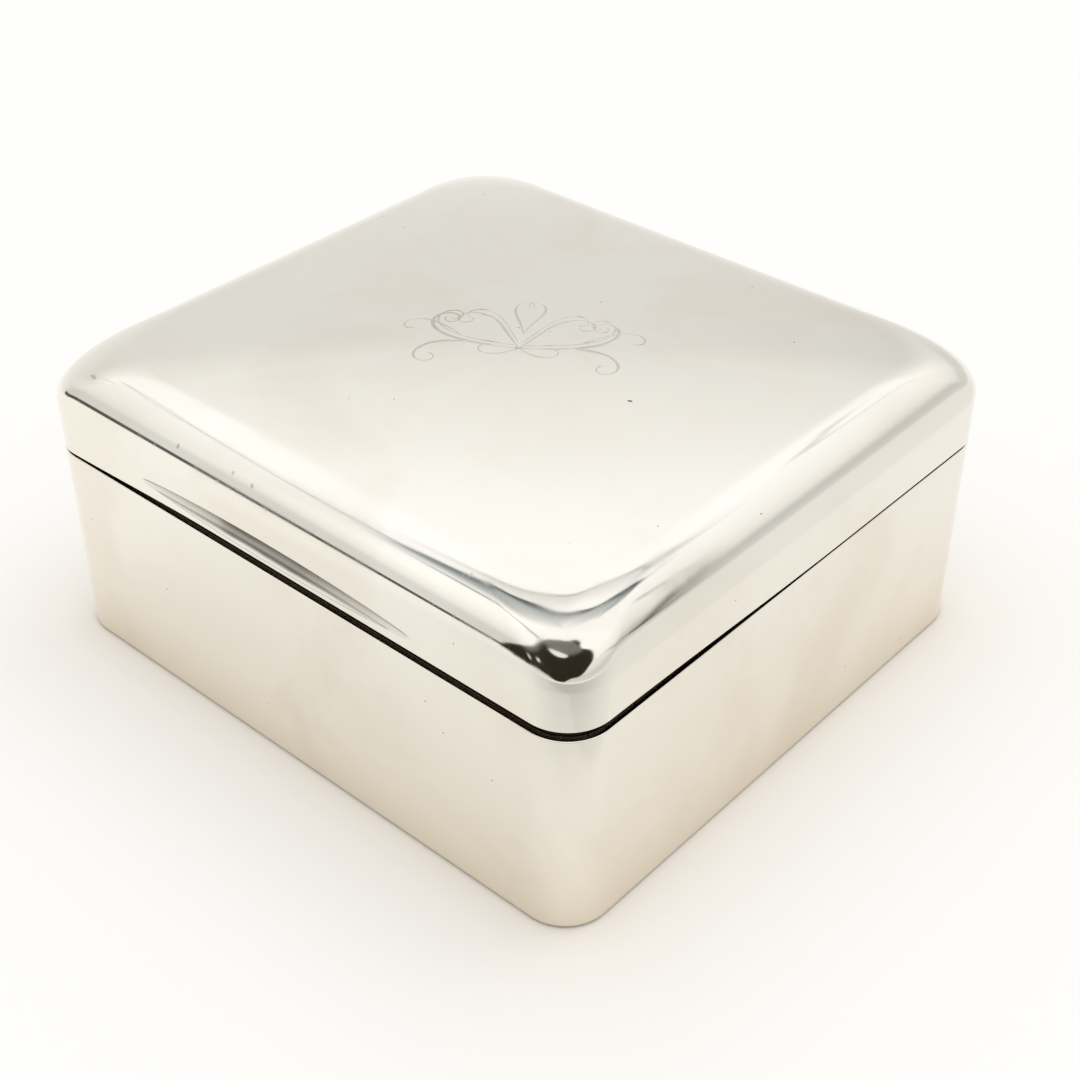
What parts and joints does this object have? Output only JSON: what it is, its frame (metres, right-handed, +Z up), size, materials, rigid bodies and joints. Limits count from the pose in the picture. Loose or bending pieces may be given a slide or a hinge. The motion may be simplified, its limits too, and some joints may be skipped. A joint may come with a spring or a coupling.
{
  "type": "cigarette box",
  "caption": "Small almost square polished silver table box with rounded corners, a hinged domed lid with a thumb scoop, and a cedar-lined inside with a divider.",
  "frame": {"origin": "middle of the flat underside that the box stands on", "axes": "+Z up, +X to the right along the front, -Y towards the front with the thumb scoop, +Y towards the hinge"},
  "size_m": [0.09, 0.0826, 0.0428],
  "materials": {
    "silver": "polished sterling silver, lightly worn, gilt inside the lid",
    "hinge_wire": "drawn nickel silver wire",
    "cedar": "planed bare cedar"
  },
  "bodies": {
    "body": {"base_plate": "silver", "body_walls": "silver", "body_hinge_bearer": "silver", "body_knuckle_1": "silver", "body_knuckle_2": "silver", "body_knuckle_3": "silver", "body_knuckle_4": "silver", "hinge_pin": "hinge_wire", "hinge_plug_left": "silver", "hinge_plug_right": "silver", "lining_floor": "cedar", "lining_front": "cedar", "lining_back": "cedar", "lining_left": "cedar", "lining_right": "cedar", "lining_divider": "cedar"},
    "lid": {"lid_top": "silver", "lid_band": "silver", "lid_hinge_bearer": "silver", "lid_knuckle_1": "silver", "lid_knuckle_2": "silver", "lid_knuckle_3": "silver"}
  },
  "joints": [
    {"name": "lid_hinge", "type": "hinge", "parent": "body", "child": "lid", "pos_m": [0, 0.04, 0.02877], "axis": [-1, 0, 0], "range_deg": [0, 100]}
  ]
}
